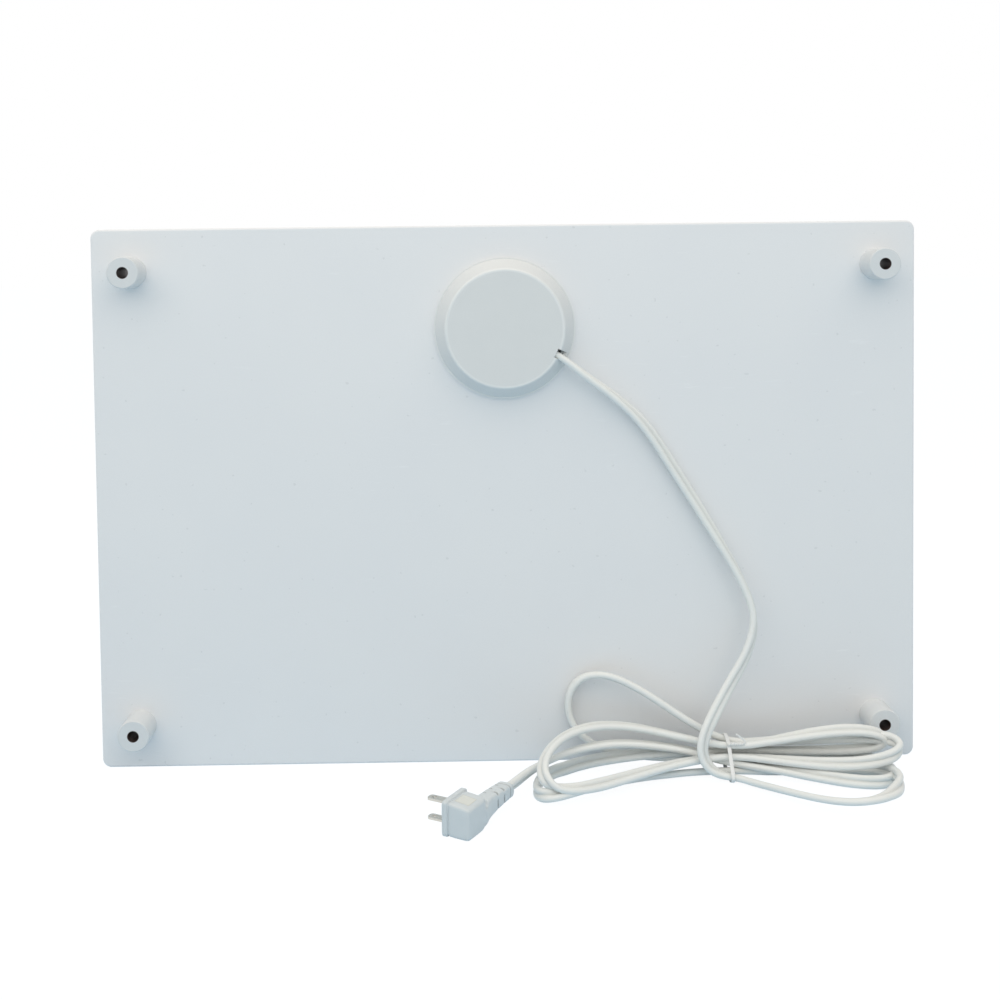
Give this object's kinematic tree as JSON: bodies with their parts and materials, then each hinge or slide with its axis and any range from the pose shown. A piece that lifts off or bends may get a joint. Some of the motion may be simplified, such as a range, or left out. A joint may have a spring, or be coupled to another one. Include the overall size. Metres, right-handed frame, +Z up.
{
  "type": "ceramic panel heater",
  "caption": "Flat rectangular wall panel heater seen from its rear, with corner standoffs, a round junction box and a tied two-wire mains cord with a right-angle plug.",
  "frame": {"origin": "middle of the bottom edge that the panel stands on, halfway between the standoff tips and the front face", "axes": "+Z up, +X to the right as seen from the rear, +Y from the rear with its standoffs to the heated front"},
  "size_m": [0.6, 0.1439, 0.396],
  "materials": {
    "ceramic_board": "satin fired board, cool white",
    "standoff_plastic": "moulded, soft satin",
    "junction_plastic": "moulded, fine matt texture",
    "resistance_wire": "drawn nickel-chrome, dull",
    "lead_insulation": "silicone insulation",
    "live_insulation": "brown core insulation",
    "neutral_insulation": "blue core insulation",
    "steatite": "unglazed steatite",
    "brass": "machined",
    "zinc_steel": "zinc plated",
    "cutout_aluminium": "drawn cup, plain",
    "cutout_moulding": "dark phenolic moulding",
    "cord_vinyl": "flexible vinyl, satin",
    "tie_paper": "white film over a thin wire",
    "plug_vinyl": "moulded vinyl, satin",
    "blade_nickel": "nickel plated brass"
  },
  "bodies": {
    "root": {"front_board": "ceramic_board", "rear_board": "ceramic_board", "heating_wire": "resistance_wire", "standoff_upper_left": "standoff_plastic", "standoff_upper_right": "standoff_plastic", "standoff_lower_left": "standoff_plastic", "standoff_lower_right": "standoff_plastic", "junction_base": "junction_plastic", "junction_cap": "junction_plastic", "base_screws": "zinc_steel", "terminal_block": "steatite", "terminal_tubes": "brass", "terminal_screws": "zinc_steel", "block_screw": "zinc_steel", "cutout_cup": "cutout_aluminium", "cutout_body": "cutout_moulding", "cutout_tabs": "brass", "tab_receptacles": "brass", "cutout_clip": "zinc_steel", "clip_screws": "zinc_steel", "element_lead_live": "lead_insulation", "element_lead_neutral": "lead_insulation", "link_wire": "lead_insulation", "cord_core_live": "live_insulation", "cord_core_neutral": "neutral_insulation", "cord_clamp": "junction_plastic", "clamp_screws": "zinc_steel", "cord_lead": "cord_vinyl", "cord_hank": "cord_vinyl", "cord_tail": "cord_vinyl", "cord_tie": "tie_paper", "plug_body": "plug_vinyl", "plug_blade_lower": "blade_nickel", "plug_blade_upper": "blade_nickel"}
  },
  "joints": []
}
